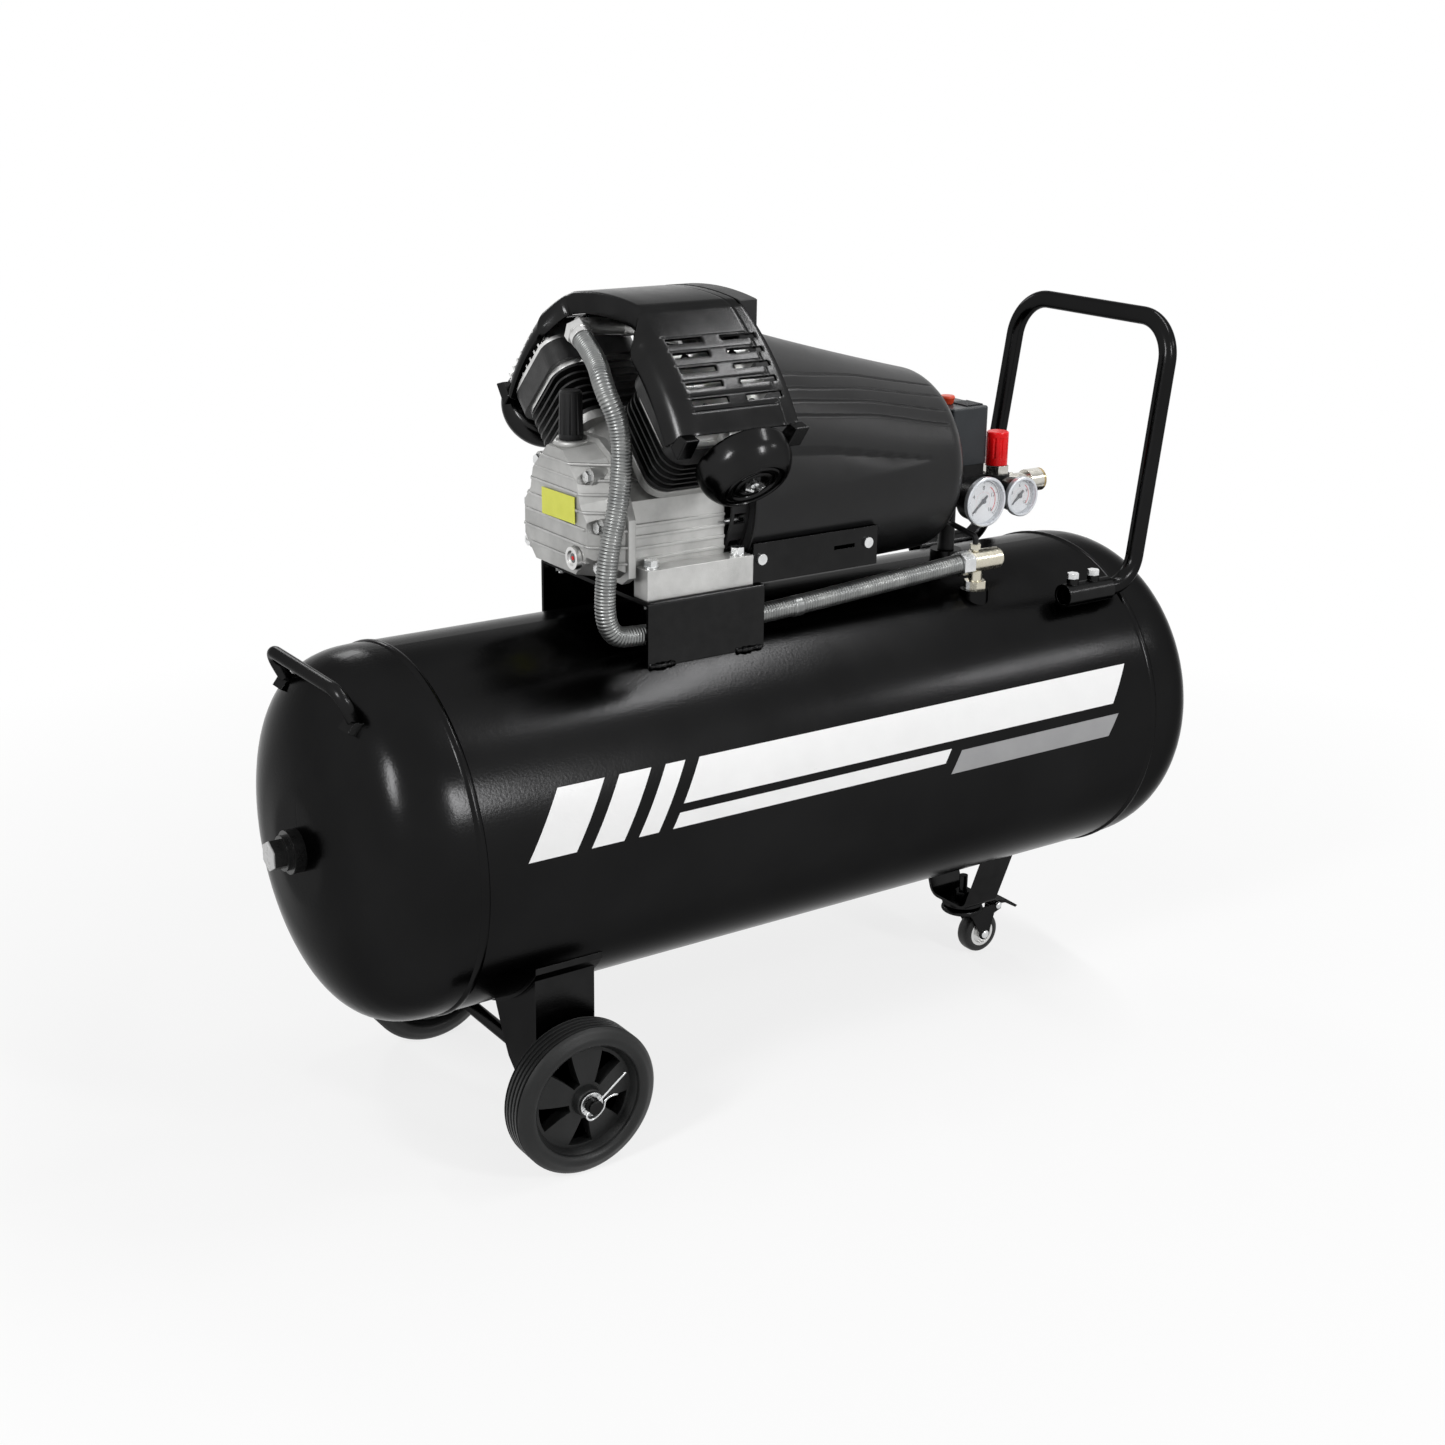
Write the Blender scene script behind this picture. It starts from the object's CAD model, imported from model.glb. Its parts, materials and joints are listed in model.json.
import bmesh
import bpy
import json
from math import asin, atan2, copysign, cos, degrees, hypot, pi, radians, sin, sqrt
from mathutils import Matrix, Vector

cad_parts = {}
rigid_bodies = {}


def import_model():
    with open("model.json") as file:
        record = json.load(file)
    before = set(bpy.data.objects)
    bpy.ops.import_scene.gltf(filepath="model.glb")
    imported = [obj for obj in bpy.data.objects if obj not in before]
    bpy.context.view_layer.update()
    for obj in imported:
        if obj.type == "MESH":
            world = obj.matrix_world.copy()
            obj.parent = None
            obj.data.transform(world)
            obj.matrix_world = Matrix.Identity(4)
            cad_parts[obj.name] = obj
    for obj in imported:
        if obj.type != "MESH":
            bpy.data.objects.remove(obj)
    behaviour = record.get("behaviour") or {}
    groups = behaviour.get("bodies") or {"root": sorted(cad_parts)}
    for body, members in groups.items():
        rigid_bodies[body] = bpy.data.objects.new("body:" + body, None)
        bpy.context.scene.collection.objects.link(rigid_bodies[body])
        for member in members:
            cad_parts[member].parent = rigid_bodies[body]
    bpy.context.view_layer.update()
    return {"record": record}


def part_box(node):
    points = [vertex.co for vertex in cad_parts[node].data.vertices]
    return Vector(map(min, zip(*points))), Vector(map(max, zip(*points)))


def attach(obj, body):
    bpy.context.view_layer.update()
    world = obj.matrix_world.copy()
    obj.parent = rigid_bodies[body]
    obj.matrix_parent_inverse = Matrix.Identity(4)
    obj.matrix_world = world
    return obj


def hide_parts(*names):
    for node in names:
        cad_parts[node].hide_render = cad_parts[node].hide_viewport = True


for leftover in list(bpy.data.objects):
    bpy.data.objects.remove(leftover, do_unlink=True)
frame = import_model()
scene = bpy.context.scene
root = "receiver_frame"

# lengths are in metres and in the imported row's frame, unless a name or a comment says mm
shift_x = 0.01475  # from the X of the part's own drawing to the row's X
crank_z = 0.614  # the crank and the motor's spindle turn at this height
tank_radius = 0.182
tank_z = 0.32
lean = sqrt(0.5)  # both cylinder banks lean by 45 degrees
banks = (("near", -1, -0.137 + shift_x), ("far", 1, -0.149 + shift_x))
flanks = (("near", -1), ("far", 1))
hem_y, hem_z = 0.165, crank_z + 0.091  # lower edge of the shroud's wings
# a drawing stood up: its Y goes up and its Z comes out on the near side
upright = Matrix(((1, 0, 0, 0), (0, 0, -1, 0), (0, 1, 0, 0), (0, 0, 0, 1)))


# ------------------------------------------------------------------ camera
def add_camera(place, yaw, pitch, roll, lens):
    """The camera as fitted to the photo: angles in radians, lens in mm."""
    flat = cos(pitch)
    forward = Vector((sin(yaw) * flat, cos(yaw) * flat, -sin(pitch)))
    level = forward.cross(Vector((0, 0, 1))).normalized()
    over = level.cross(forward)
    right = level * cos(roll) + over * sin(roll)
    up = over * cos(roll) - level * sin(roll)
    data = bpy.data.cameras.new("camera")
    data.lens = lens
    data.sensor_width = 36.0
    data.clip_end = 50
    camera = bpy.data.objects.new("camera", data)
    turn = Matrix((right, up, -forward)).transposed().to_4x4()
    camera.matrix_world = Matrix.Translation(place) @ turn
    scene.collection.objects.link(camera)
    scene.camera = camera


add_camera((-1.18415, -1.678, 1.0602), 0.6055, 0.3314, 0.0145, 51.1)


# ------------------------------------------------------------------ materials
class Finish:
    """One procedural material, written with short calls."""

    def __init__(self, name, **sockets):
        self.material = bpy.data.materials.new(name)
        self.material.use_nodes = True
        self.tree = self.material.node_tree
        self.shader = self.tree.nodes["Principled BSDF"]
        self.coords = self.tree.nodes.new("ShaderNodeTexCoord").outputs["Object"]
        for key, value in sockets.items():
            self.shader.inputs[key.replace("_", " ")].default_value = value

    def put(self, socket, value):
        """Link a socket to another, or give it a value."""
        if isinstance(value, bpy.types.NodeSocket):
            self.tree.links.new(value, socket)
        elif socket.type == "RGBA" and len(value) == 3:
            socket.default_value = (*value, 1)
        else:
            socket.default_value = value

    def node(self, kind, values=(), **settings):
        made = self.tree.nodes.new(kind)
        for key, value in settings.items():
            setattr(made, key, value)
        for key, value in dict(values).items():
            self.put(made.inputs[key], value)
        return made

    def noise(self, scale, detail=3.0, rough=0.55):
        return self.node("ShaderNodeTexNoise", {
            "Vector": self.coords, "Scale": scale, "Detail": detail,
            "Roughness": rough}).outputs["Fac"]

    def range(self, value, low, high, out_low, out_high):
        return self.node("ShaderNodeMapRange", {
            "Value": value, "From Min": low, "From Max": high,
            "To Min": out_low, "To Max": out_high}).outputs[0]

    def maths(self, operation, a, b):
        return self.node("ShaderNodeMath", {0: a, 1: b}, operation=operation).outputs[0]

    def mix(self, fraction, a, b):
        return self.node("ShaderNodeMix", {0: fraction, 6: a, 7: b}, data_type="RGBA").outputs[2]

    def bump(self, height, depth):
        """Raise the surface by a height, on top of what already shapes the normal."""
        made = self.node("ShaderNodeBump", {"Height": height, "Distance": depth})
        normal = self.shader.inputs["Normal"]
        if normal.is_linked:
            self.put(made.inputs["Normal"], normal.links[0].from_socket)
        self.put(normal, made.outputs[0])

    def worn(self, colour, wear, amount):
        """Mix a rubbed colour in along sharp edges, broken up by noise."""
        sharp = self.node("ShaderNodeNewGeometry").outputs["Pointiness"]
        edge = self.range(sharp, 0.52, 0.62, 0, amount)
        return self.mix(self.maths("MULTIPLY", edge, self.noise(90, 4)), colour, wear)


def coated(name, dark, light, patch, rough, spread, grain, depth, edge, sockets=(),
           wear=None, amount=0):
    """A painted, plated, cast or moulded surface: tone, gloss and grain each vary by noise.

    patch and grain are noise scales, spread is how far the roughness strays, depth is that of
    the grain, edge the radius of the softened edges, and wear their rubbed colour.
    """
    finish = Finish(name, **dict(sockets))
    colour = finish.mix(finish.range(finish.noise(patch, 4), 0.3, 0.7, 0, 1), dark, light)
    if wear:
        colour = finish.worn(colour, wear, amount)
    finish.put(finish.shader.inputs["Base Color"], colour)
    gloss = finish.range(finish.noise(patch * 2.3, 5), 0.25, 0.75, rough - spread, rough + spread)
    finish.put(finish.shader.inputs["Roughness"], gloss)
    if edge:
        bevel = finish.node("ShaderNodeBevel", {"Radius": edge}, samples=4)
        finish.put(finish.shader.inputs["Normal"], bevel.outputs[0])
    finish.bump(finish.noise(grain, 2, 0.5), depth)
    return finish


def specular(value):
    """Shader socket for how strongly a surface that isn't metal reflects."""
    return {"Specular_IOR_Level": value}


# a metallic lobe over a dark base keeps the black parts dark at grazing angles too
lacquer = {"Metallic": 1.0, "Specular_Tint": (0.5, 0.5, 0.5, 1.0)}
metal = {"Metallic": 1.0}
soot, bright, pale_nickel = (0.04, 0.04, 0.04), (0.85, 0.85, 0.84), (0.8, 0.78, 0.72)
look_rows = (
    # slot or node, material's name, dark and light tone,
    # then patch, rough, spread, grain, depth, edge, and where they differ sockets, wear, amount
    ("black_paint", "black paint", (0.012, 0.012, 0.0122), (0.016, 0.016, 0.0162),
     6, 0.2, 0.03, 380, 0.00008, 0, lacquer),
    ("bracket_paint", "bracket paint", (0.015, 0.015, 0.0152), (0.02, 0.02, 0.0202),
     12, 0.24, 0.05, 420, 0.00008, 0.0008, lacquer, soot, 0.35),
    ("black_plastic", "black plastic", (0.018, 0.018, 0.0182), (0.024, 0.024, 0.0242),
     18, 0.2, 0.05, 700, 0.00005, 0.0006, lacquer, soot, 0.3),
    ("satin_plastic", "satin plastic", (0.006, 0.006, 0.0064), (0.009, 0.009, 0.0094),
     14, 0.33, 0.05, 1500, 0.00006, 0.0006, specular(0.22), soot, 0.3),
    ("matte_plastic", "matte plastic", (0.005, 0.005, 0.0054), (0.009, 0.009, 0.0094),
     25, 0.5, 0.07, 1400, 0.0001, 0.0005, specular(0.22), soot, 0.3),
    ("die_cast", "die cast aluminium", (0.35, 0.35, 0.342), (0.49, 0.49, 0.478),
     30, 0.44, 0.07, 900, 0.0002, 0.0012, {"Metallic": 0.7}, (0.66, 0.66, 0.65), 0.7),
    ("aluminium", "machined aluminium", (0.56, 0.56, 0.555), (0.73, 0.73, 0.72),
     40, 0.32, 0.07, 1200, 0.00005, 0.0005, metal, bright, 0.6),
    ("zinc", "zinc plate", (0.55, 0.56, 0.56), (0.7, 0.71, 0.72),
     90, 0.27, 0.08, 1800, 0.00003, 0.0003, metal, bright, 0.5),
    ("steel", "ground steel", (0.42, 0.42, 0.42), (0.56, 0.56, 0.555),
     60, 0.28, 0.08, 1500, 0.00003, 0.0003, metal),
    ("core_steel", "stacked core steel", (0.1, 0.1, 0.105), (0.2, 0.2, 0.205),
     60, 0.5, 0.1, 900, 0.0001, 0.0003, {"Metallic": 0.9}),
    ("iron", "black cast iron", (0.004, 0.004, 0.0042), (0.008, 0.008, 0.0084),
     45, 0.36, 0.08, 800, 0.00025, 0.0006, specular(0.28), (0.05, 0.05, 0.05), 0.5),
    ("brass", "brass", (0.5, 0.4, 0.24), (0.62, 0.51, 0.33),
     60, 0.28, 0.07, 1500, 0.00004, 0.0004, metal, (0.8, 0.7, 0.5), 0.5),
    ("nickel", "nickel plate", (0.48, 0.465, 0.43), (0.62, 0.6, 0.55),
     70, 0.24, 0.06, 1500, 0.00003, 0.0004, metal, pale_nickel, 0.5),
    ("tyre", "tyre rubber", (0.008, 0.0084, 0.0084), (0.013, 0.0134, 0.0134),
     30, 0.42, 0.07, 900, 0.00012, 0.0004, specular(0.28), soot, 0.4),
    ("castor_rubber", "castor rubber", (0.008, 0.008, 0.008), (0.015, 0.015, 0.015),
     60, 0.45, 0.08, 1500, 0.00005, 0.0004, specular(0.3), (0.045, 0.045, 0.045), 0.4),
    ("switch_plastic", "switch cover plastic", (0.014, 0.017, 0.02), (0.02, 0.024, 0.028),
     40, 0.36, 0.05, 1500, 0.00005, 0.0008, specular(0.3), (0.06, 0.06, 0.065), 0.3),
    ("orange_plastic", "orange red plastic", (0.66, 0.055, 0.015), (0.74, 0.075, 0.022),
     60, 0.35, 0.06, 1500, 0.00004, 0.0006, specular(0.4)),
    ("red_plastic", "red plastic", (0.7, 0.003, 0.005), (0.8, 0.006, 0.008),
     60, 0.28, 0.06, 1500, 0.00004, 0.0005, specular(0.22)),
    ("dial_white", "dial white", (0.8, 0.81, 0.83), (0.84, 0.85, 0.87),
     60, 0.55, 0.05, 1500, 0.00002, 0),
    ("needle_black", "needle black", (0.012, 0.014, 0.022), (0.02, 0.022, 0.032),
     60, 0.45, 0.05, 1500, 0.00002, 0),
    ("hose_steel", "corrugated hose steel", (0.15, 0.155, 0.155), (0.25, 0.255, 0.25),
     60, 0.36, 0.08, 1500, 0.00005, 0, {"Metallic": 0.9}, (0.45, 0.45, 0.44), 0.6),
    ("clear", "clear lens", (0.8, 0.82, 0.84), (0.84, 0.86, 0.88),
     40, 0.05, 0.02, 600, 0.000005, 0, {"Alpha": 0.1}),
    # films and glass that only this scene has
    ("yellow_label", "yellow label film", (0.72, 0.74, 0.06), (0.78, 0.8, 0.09),
     60, 0.35, 0.05, 1500, 0.00002, 0),
    ("white_film", "white film", (0.8, 0.8, 0.8), (0.84, 0.84, 0.84),
     20, 0.32, 0.05, 260, 0.0001, 0),
    ("grey_film", "grey film", (0.26, 0.26, 0.265), (0.3, 0.3, 0.305),
     20, 0.32, 0.05, 260, 0.0001, 0),
    ("dark_glass", "dark sight glass", (0.02, 0.02, 0.02), (0.035, 0.03, 0.03),
     60, 0.06, 0.02, 600, 0.00001, 0, {"Coat_Weight": 0.6}),
    # single nodes whose two ends differ
    ("check_valve", "nickel valve body", (0.58, 0.59, 0.6), (0.7, 0.71, 0.71),
     70, 0.26, 0.07, 1500, 0.00004, 0.0004, metal, bright, 0.5),
    ("coupler_sleeve", "nickel sleeve", (0.5, 0.48, 0.43), (0.64, 0.62, 0.56),
     70, 0.22, 0.06, 1500, 0.00003, 0.0004, metal, pale_nickel, 0.5),
    ("gauge_cases", "gauge case", (0.56, 0.58, 0.61), (0.68, 0.7, 0.73),
     70, 0.3, 0.05, 1500, 0.00003, 0.0004, {"Metallic": 0.8}),
    ("end_plug", "plug with a bright end", (0.34, 0.34, 0.34), (0.48, 0.48, 0.48),
     70, 0.3, 0.06, 900, 0.00006, 0.0004, specular(0.3), (0.6, 0.6, 0.6), 0.6),
)
looks = {key: coated(*row) for key, *row in look_rows}


def dress(node, look):
    for place in bpy.data.objects[node].material_slots:
        place.material = look.material


def banded(node, letter, limit, soft, dark, light):
    """Dress a node in its own look, which has other tones past a limit along one axis."""
    look = looks[node]
    along = look.node("ShaderNodeSeparateXYZ", {"Vector": look.coords}).outputs[letter]
    here = look.range(along, limit - soft, limit + soft, 0, 1)
    base = look.shader.inputs["Base Color"]
    other = look.mix(look.noise(70, 4), dark, light)
    look.put(base, look.mix(here, base.links[0].from_socket, other))
    dress(node, look)


for row in frame["record"]["subparts"]:
    dress(row["node"], looks[row["material_slot"]])
banded("check_valve", "X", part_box("check_valve")[0].x + 0.0151, 0.0002,
       (0.5, 0.47, 0.38), (0.63, 0.6, 0.51))
banded("coupler_sleeve", "X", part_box("coupler_sleeve")[1].x - 0.003, 0.0003,
       (0.42, 0.31, 0.15), (0.52, 0.4, 0.21))
banded("gauge_cases", "Y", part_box("gauge_cases")[0].y + 0.0065, 0.0002,
       (0.006, 0.006, 0.006), (0.01, 0.01, 0.01))
banded("end_plug", "X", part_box("end_plug")[0].x + 0.0012, 0.0003,
       (0.003, 0.003, 0.003), (0.006, 0.006, 0.006))


# ------------------------------------------------------------------ shape helpers
def edit(mesh, change):
    """Run one change on a mesh in its bmesh form."""
    work = bmesh.new()
    work.from_mesh(mesh)
    change(work)
    work.to_mesh(mesh)
    work.free()


def piece(name, points, faces, slot, body=root, smooth=True, stands_for=()):
    """A mesh object that rides on one body and takes its finish from one material slot."""
    mesh = bpy.data.meshes.new(name)
    mesh.from_pydata([tuple(p) for p in points], [], faces)
    mesh.validate()
    edit(mesh, lambda work: bmesh.ops.recalc_face_normals(work, faces=work.faces))
    obj = bpy.data.objects.new(name, mesh)
    scene.collection.objects.link(obj)
    mesh.materials.append(looks[slot].material)
    for face in mesh.polygons:
        face.use_smooth = smooth
    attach(obj, body)
    if stands_for:
        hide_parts(*stands_for)
    return obj


def sharpen(obj, degrees=35):
    """Keep edges sharper than this crisp in the smooth shading."""
    def mark(work):
        for edge in work.edges:
            if len(edge.link_faces) == 2 and edge.calc_face_angle(0) > radians(degrees):
                edge.smooth = False

    edit(obj.data, mark)


def weld(obj):
    """Close the seams where points of a grid meet."""
    def close(work):
        bmesh.ops.remove_doubles(work, verts=work.verts, dist=0.00005)
        bmesh.ops.recalc_face_normals(work, faces=work.faces)

    edit(obj.data, close)


def from_axis(face):
    """How far a face looks away from the axis of the crank and spindle."""
    return face.normal.dot(face.center - Vector((face.center.x, 0, crank_z)))


def thicken(obj, wall, outward=None):
    """Give a sheet a wall behind it; a measure of each face tells which way is out."""
    if outward and sum(outward(face) for face in obj.data.polygons) < 0:
        obj.data.flip_normals()
    made = obj.modifiers.new("wall", "SOLIDIFY")
    made.thickness = wall
    made.offset = -1


def soften(obj, width, segments=2, angle=40):
    """Round the edges that are sharper than an angle."""
    edge = obj.modifiers.new("edge", "BEVEL")
    edge.width = width
    edge.segments = segments
    edge.limit_method = "ANGLE"
    edge.angle_limit = radians(angle)


def clamp(value):
    return min(max(value, 0), 1)


def eased(t):
    return t * t * (3 - 2 * t)


def within(spans, value):
    return any(a < value < b for a, b in spans)


def polar(radius, degrees):
    angle = radians(degrees)
    return radius * cos(angle), radius * sin(angle)


def mm(*points):
    """Points in metres from points in mm."""
    return [tuple(value / 1000 for value in point) for point in points]


def rounded(points, rounds=3):
    """Cut the corners of an open line again and again, which rounds it."""
    points = [Vector(p) for p in points]
    for _ in range(rounds):
        cut = [points[0]]
        for a, b in zip(points, points[1:]):
            cut += [a.lerp(b, 0.25), a.lerp(b, 0.75)]
        points = cut + [points[-1]]
    return points


def both_ways(line, between=()):
    """A profile, what lies between, and the profile again mirrored in the height."""
    return [*line, *between, *((p[0], -p[1]) for p in reversed(line))]


def axis_frame(origin, along):
    """Matrix whose Z axis runs along a direction."""
    turn = Vector(along).normalized().to_track_quat("Z", "Y").to_matrix().to_4x4()
    return Matrix.Translation(origin) @ turn


def facing(centre, side):
    """Frame whose Z axis leaves the machine on one side, with Y up."""
    turn = Matrix(((-side, 0, 0), (0, 0, side), (0, 1, 0))).to_4x4()
    return Matrix.Translation(centre) @ turn


def rings(count, sides, caps):
    """Faces between rings of points, and a cap on each of the rings named."""
    faces = []
    for row in range(count - 1):
        here, above = row * sides, (row + 1) * sides
        for k in range(sides):
            after = (k + 1) % sides
            faces.append((here + k, here + after, above + after, above + k))
    return faces + [tuple(range(row * sides, (row + 1) * sides)) for row in caps]


def lathe(name, profile, place, slot, turns=96, **options):
    """Turn a line of (radius, height) about the frame's Z axis."""
    points = []
    for radius, height in profile:
        for k in range(turns):
            angle = 2 * pi * k / turns
            points.append(place @ Vector((radius * cos(angle), radius * sin(angle), height)))
    is_open = tuple(profile[0]) != tuple(profile[-1])
    caps = [row for row in (0, len(profile) - 1) if is_open and profile[row][0] > 1e-6]
    return piece(name, points, rings(len(profile), turns, caps), slot, **options)


def run_tube(name, path, radius_at, slot, sides, **options):
    """A tube round a line of points, whose radius may vary with the distance along it."""
    points = []
    over = (path[1] - path[0]).normalized().orthogonal().normalized()
    travelled = 0.0
    for index, centre in enumerate(path):
        before = path[max(index - 1, 0)]
        after = path[min(index + 1, len(path) - 1)]
        travelled += (centre - before).length
        ahead = (after - before).normalized()
        over = (over - ahead * over.dot(ahead)).normalized()
        across = ahead.cross(over)
        radius = radius_at(travelled)
        for k in range(sides):
            angle = 2 * pi * k / sides
            points.append(centre + (over * cos(angle) + across * sin(angle)) * radius)
    return piece(name, points, rings(len(path), sides, (0, len(path) - 1)), slot, **options)


def spline(points, steps):
    """Points along the smooth NURBS line of these control points."""
    data = bpy.data.curves.new("line", "CURVE")
    data.dimensions = "3D"
    line = data.splines.new("NURBS")
    line.points.add(len(points) - 1)
    for spot, place in zip(line.points, points):
        spot.co = (*place, 1)
    line.order_u = 3
    line.use_endpoint_u = True
    line.resolution_u = steps
    obj = bpy.data.objects.new("line", data)
    mesh = bpy.data.meshes.new_from_object(obj)
    path = [vertex.co.copy() for vertex in mesh.vertices]
    bpy.data.objects.remove(obj)
    bpy.data.meshes.remove(mesh)
    return path


def even(path, step):
    """The same line with points at even distances."""
    spaced = [path[0]]
    left = step
    for a, b in zip(path, path[1:]):
        length = (b - a).length
        while length > 1e-9 and left <= length:
            a = a.lerp(b, left / length)
            spaced.append(a.copy())
            length = (b - a).length
            left = step
        left -= length
    return spaced + [path[-1]]


def sides_of(count):
    """Side faces of a prism whose lower and upper outlines follow each other."""
    return [(k, (k + 1) % count, count + (k + 1) % count, count + k) for k in range(count)]


def prism(outline, low, high, place=Matrix.Identity(4)):
    """Points and faces of a straight block with this outline, between two levels of the frame."""
    count = len(outline)
    points = [place @ Vector((a, b, level)) for level in (low, high) for a, b in outline]
    ends = [tuple(reversed(range(count))), tuple(range(count, 2 * count))]
    return points, ends + sides_of(count)


def grid(rows, skip=()):
    """Points and faces between rows of points, leaving out the skipped cells."""
    wide = len(rows[0])
    points = [p for row in rows for p in row]
    faces = []
    for r in range(len(rows) - 1):
        for c in range(wide - 1):
            if (r, c) not in skip:
                k = r * wide + c
                faces.append((k, k + 1, k + wide + 1, k + wide))
    return points, faces


def join(parts):
    """One list of points and one of faces from several."""
    points, faces = [], []
    for more_points, more_faces in parts:
        start = len(points)
        points += more_points
        faces += [tuple(start + k for k in face) for face in more_faces]
    return points, faces


# ------------------------------------------------------------------ pump
def circle_through(a, b, c):
    """Centre and radius of the circle through three (y, z) points."""
    (ay, az), (by, bz), (cy, cz) = a, b, c
    d = 2 * (ay * (bz - cz) + by * (cz - az) + cy * (az - bz))
    aa, bb, cc = ay**2 + az**2, by**2 + bz**2, cy**2 + cz**2
    uy = (aa * (bz - cz) + bb * (cz - az) + cc * (az - bz)) / d
    uz = (aa * (cy - by) + bb * (ay - cy) + cc * (by - ay)) / d
    return uy, uz, hypot(ay - uy, az - uz)


def shroud_line():
    """Half the shroud's outline, as a function from the distance along it to (y, z).

    The distance starts in the middle of the roof; those of the corner and the hem come with it.
    """
    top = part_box("shroud")[1].z
    corner = (0.065, crank_z + 0.1925)
    wing_y, wing_z, wing_r = circle_through(corner, (0.123, crank_z + 0.1475), (hem_y, hem_z))
    _, roof_z, roof_r = circle_through((-corner[0], corner[1]), (0, top), corner)
    roof_steps, wing_steps = 60, 120
    line = []
    reach = asin(corner[0] / roof_r)
    for k in range(roof_steps + 1):
        angle = reach * k / roof_steps
        line.append(Vector((roof_r * sin(angle), roof_z + roof_r * cos(angle))))
    start = atan2(corner[1] - wing_z, corner[0] - wing_y)
    end = atan2(hem_z - wing_z, hem_y - wing_y)
    for k in range(1, wing_steps + 1):
        angle = start + (end - start) * k / wing_steps
        line.append(Vector((wing_y + wing_r * cos(angle), wing_z + wing_r * sin(angle))))
    span = [0.0]
    for a, b in zip(line, line[1:]):
        span.append(span[-1] + (b - a).length)
    corner_s = span[roof_steps]
    ease = 0.014  # the corner is rounded by the mean of places this far to both sides

    def sharp(s):
        s = min(max(s, 0.0), span[-1])
        k = next(i for i in range(1, len(span)) if span[i] >= s - 1e-12)
        return line[k - 1].lerp(line[k], (s - span[k - 1]) / (span[k] - span[k - 1]))

    def at(s):
        off = abs(s - corner_s)
        if off >= 2 * ease:
            return sharp(s)
        spots = [sharp(s + ease * (j / 6 - 1) * (1 - off / (2 * ease))) for j in range(13)]
        return sum(spots, Vector((0, 0))) / 13

    return at, corner_s, span[-1]


def shroud():
    """The shroud's thin shell, with two columns of slots in each wing and a seam at the rear."""
    at, corner_s, hem_s = shroud_line()
    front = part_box("shroud")[0].x
    length = (-0.07 + shift_x) - front
    slots_x = [(0.026, 0.066), (0.086, 0.126)]
    first, pitch, half = corner_s + 0.047, 0.0165, 0.00325
    slots_s = [(first + pitch * row - half, first + pitch * row + half) for row in range(5)]

    # rows of points round the shell, closer at the corner and at each slot
    stations = {round(hem_s * k / 56, 6) for k in range(57)}
    stations |= {round(corner_s + (k - 8) * 0.0025, 6) for k in range(17)}
    for a, b in slots_s:
        stations = {s for s in stations if not (a - 0.0035 < s < b + 0.0015)}
        stations |= {a, (a + b) / 2, b, a - 0.0028, a - 0.0022, a - 0.0014, a - 0.0008}
    last_line = slots_s[-1][1] + 0.006
    stations = sorted([s for s in stations if abs(s - last_line) > 0.002]
                      + [last_line + d for d in (-0.001, -0.0004, 0.0004, 0.001)])

    # along each row: the lip that turns in at the front, its round edge, then the flat
    flat = {x for ends in slots_x for x in ends} | {0.022 + 0.00667 * k for k in range(1, 17)}
    flat |= {length - back for back in (0.016, 0.0152, 0.014, 0.0132, 0)}
    flat = sorted(flat)
    flat = [x for k, x in enumerate(flat) if k == 0 or x - flat[k - 1] > 0.0007]
    along = [("lip", k / 3) for k in range(4)] + [("turn", k / 10) for k in range(1, 11)]
    along += [("flat", x) for x in flat if 0.0225 < x <= length]

    def sunk(s, x):
        """Depth of the rear seam, and of the fine lines beside the slots."""
        if x > length - 0.0156:
            return 0.0014 if x < length - 0.0135 else 0.0004
        lined = (abs(s - last_line) < 0.0005
                 or any(a - 0.0025 < s < a - 0.0011 for a, _ in slots_s))
        return 0.0009 if lined and x < length - 0.018 else 0.0

    def row_at(s):
        spot = at(s)
        ahead = (at(s + 0.001) - at(s - 0.001)).normalized()
        normal = Vector((-ahead.y, ahead.x))
        if normal.dot(spot - Vector((0, crank_z))) < 0:
            normal = -normal
        setback = 0.02 * clamp((spot.y - crank_z - 0.172) / 0.018)
        wing = eased(clamp((s - corner_s - 0.004) / 0.046))
        round_r = 0.007 + 0.0175 * wing
        lip = 0.021 + 0.007 * wing
        row = []
        for kind, t in along:
            if kind == "lip":
                x = 0.004 * (1 - t) * wing + 0.0006 * (1 - t)
                inset = lip - (lip - round_r) * t
            elif kind == "turn":
                x = round_r * (1 - cos(t * pi / 2))
                inset = round_r * (1 - sin(t * pi / 2))
            else:
                x, inset = max(t, round_r), sunk(s, t)
            place = spot - normal * inset
            x = front + setback + x * (length - setback) / length
            row.append(Vector((x, place.x, place.y)))
        return row

    cut_s = [r for r, (a, b) in enumerate(zip(stations, stations[1:]))
             if within(slots_s, (a + b) / 2)]
    cut_x = [c for c, (a, b) in enumerate(zip(along, along[1:]))
             if a[0] == "flat" and within(slots_x, (a[1] + b[1]) / 2)]
    points, faces = grid([row_at(s) for s in stations], {(r, c) for r in cut_s for c in cut_x})
    count = len(points)
    points += [Vector((p.x, -p.y, p.z)) for p in points]
    faces += [tuple(count + k for k in reversed(face)) for face in faces]
    shell = piece("shroud_shell", points, faces, "black_plastic", stands_for=("shroud",))
    weld(shell)
    thicken(shell, 0.003, from_axis)
    soften(shell, 0.0005, 2, 50)
    shroud_posts([at(hem_s * j / 60) for j in range(61)])
    shroud_ears(front, length)


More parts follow.
